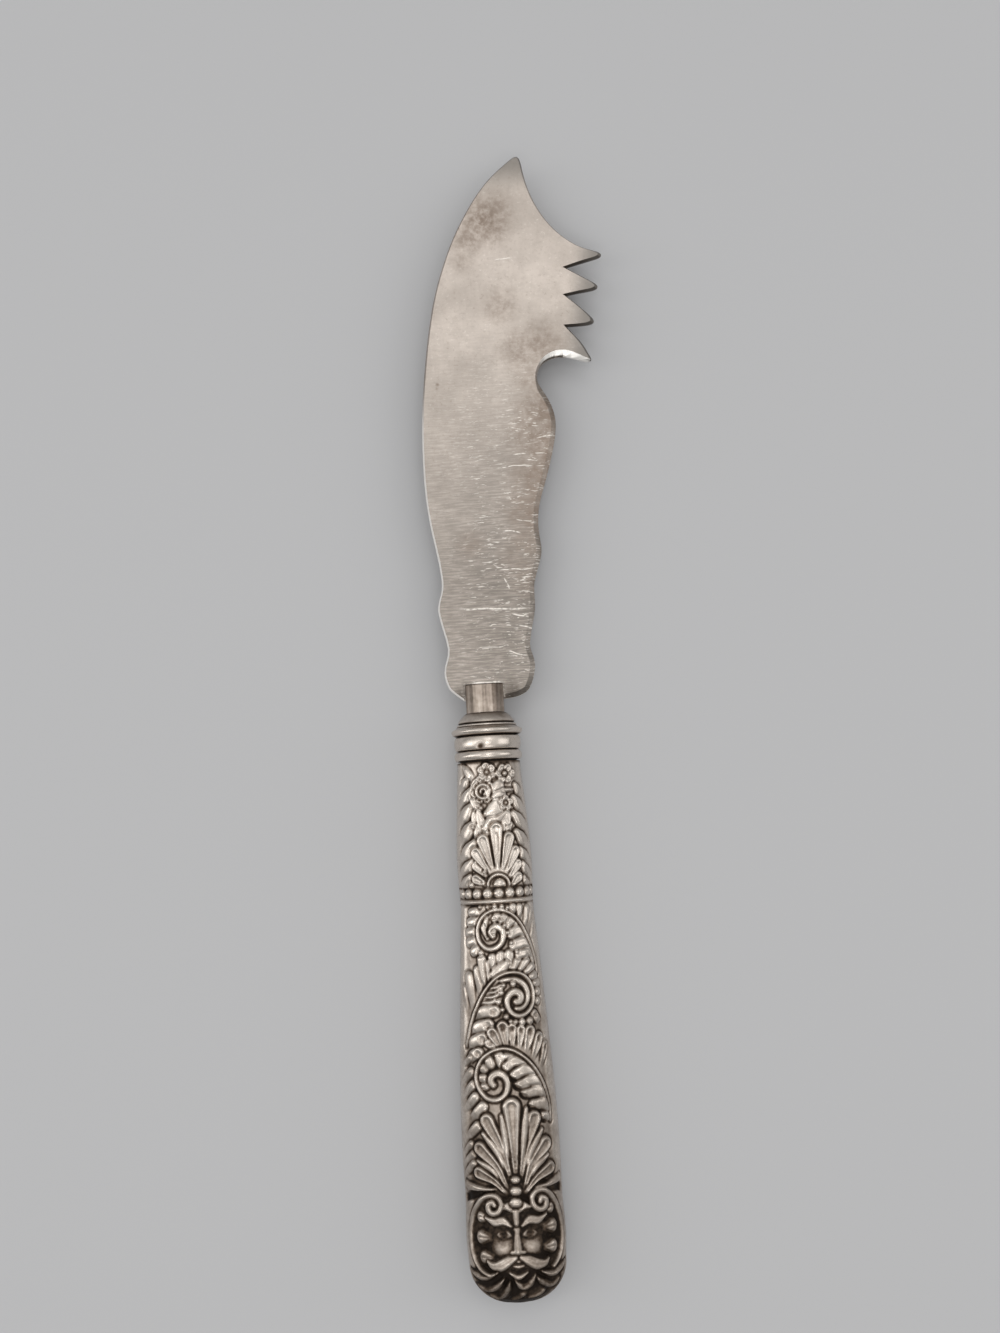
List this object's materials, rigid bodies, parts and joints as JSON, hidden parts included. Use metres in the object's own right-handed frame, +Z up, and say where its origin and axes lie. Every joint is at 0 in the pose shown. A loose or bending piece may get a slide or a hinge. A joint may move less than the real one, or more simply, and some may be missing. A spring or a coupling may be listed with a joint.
{
  "type": "cheese knife",
  "caption": "Cheese knife with a flat, toothed and hooked blade in a forked shank, a ringed ferrule and a hollow handle of stamped ornamental shells.",
  "frame": {"origin": "on the surface the knife lies on, under the middle of its overall box; the handle's axis runs 8.8 mm to the -X side of it", "axes": "+Y along the knife from the butt to the blade's tip, +X to the toothed edge, +Z up from the front face"},
  "size_m": [0.0354, 0.2104, 0.013],
  "materials": {
    "blade_plate": "worn satin silver plate with fine scratches and brown tarnish",
    "forged_shank": "silver plate, rubbed and dull in the corners",
    "ferrule_silver": "polished silver with dark lines between the mouldings",
    "shell_silver": "silver in relief, bright on the ridges and oxidised dark brown in the recesses",
    "cement": "dull dark brown pitch cement"
  },
  "bodies": {
    "root": {"blade": "blade_plate", "shank": "forged_shank", "ferrule_cap": "ferrule_silver", "upper_ring": "ferrule_silver", "ferrule_sleeve": "ferrule_silver", "lower_ring": "ferrule_silver", "front_shell": "shell_silver", "back_shell": "shell_silver", "cement_core": "cement"}
  },
  "joints": []
}
